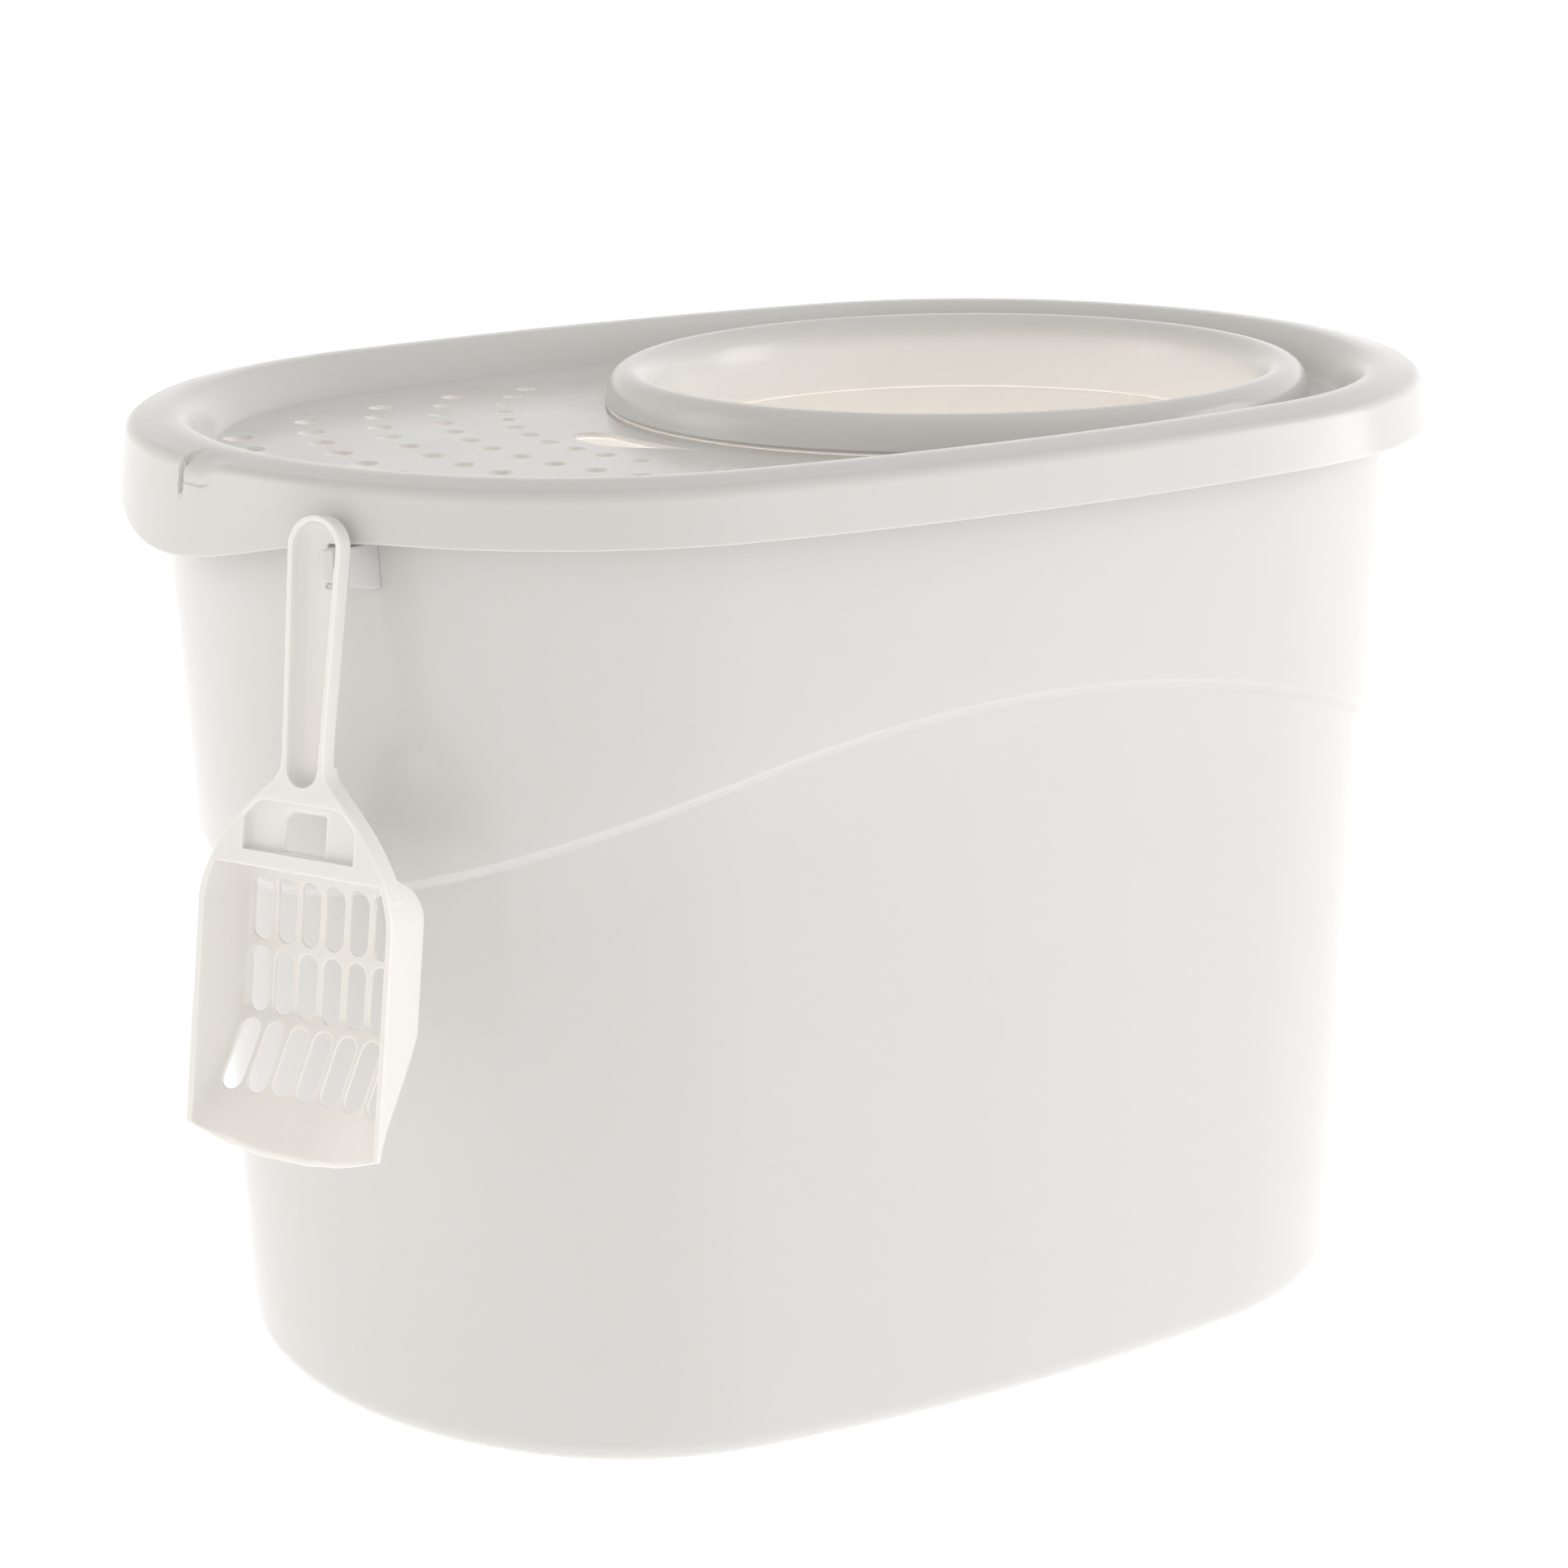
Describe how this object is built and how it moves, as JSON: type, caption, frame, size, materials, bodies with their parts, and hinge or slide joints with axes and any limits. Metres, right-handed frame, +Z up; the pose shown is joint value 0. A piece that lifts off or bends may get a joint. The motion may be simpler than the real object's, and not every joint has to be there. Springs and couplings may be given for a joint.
{
  "type": "top-entry cat litter box",
  "caption": "Oval top-entry cat litter box: deep tub with an arched step, lift-off perforated lid with a round entry, and a slotted scoop hung on a side hook.",
  "frame": {"origin": "centre of the tub's flat underside, on the floor", "axes": "+Z up, X along the length with +X towards the entry end and -X towards the vent holes, Y across; the scoop hangs on the -X -Y side"},
  "size_m": [0.5862, 0.405, 0.3876],
  "materials": {
    "tub_plastic": "smooth glossy warm white moulded polypropylene",
    "lid_plastic": "smooth satin-gloss warm white moulded polypropylene",
    "scoop_plastic": "smooth glossy warm white moulded polypropylene"
  },
  "bodies": {
    "tub": {"litter_tub": "tub_plastic"},
    "lid": {"entry_lid": "lid_plastic"},
    "scoop": {"litter_scoop": "scoop_plastic"}
  },
  "joints": [
    {"name": "lid_lift", "type": "slide", "parent": "tub", "child": "lid", "axis": [0, 0, 1], "range_m": [0, 0.2]},
    {"name": "scoop_unhook", "type": "slide", "parent": "tub", "child": "scoop", "axis": [-0.8695, -0.4939, 0], "range_m": [0, 0.15]}
  ]
}
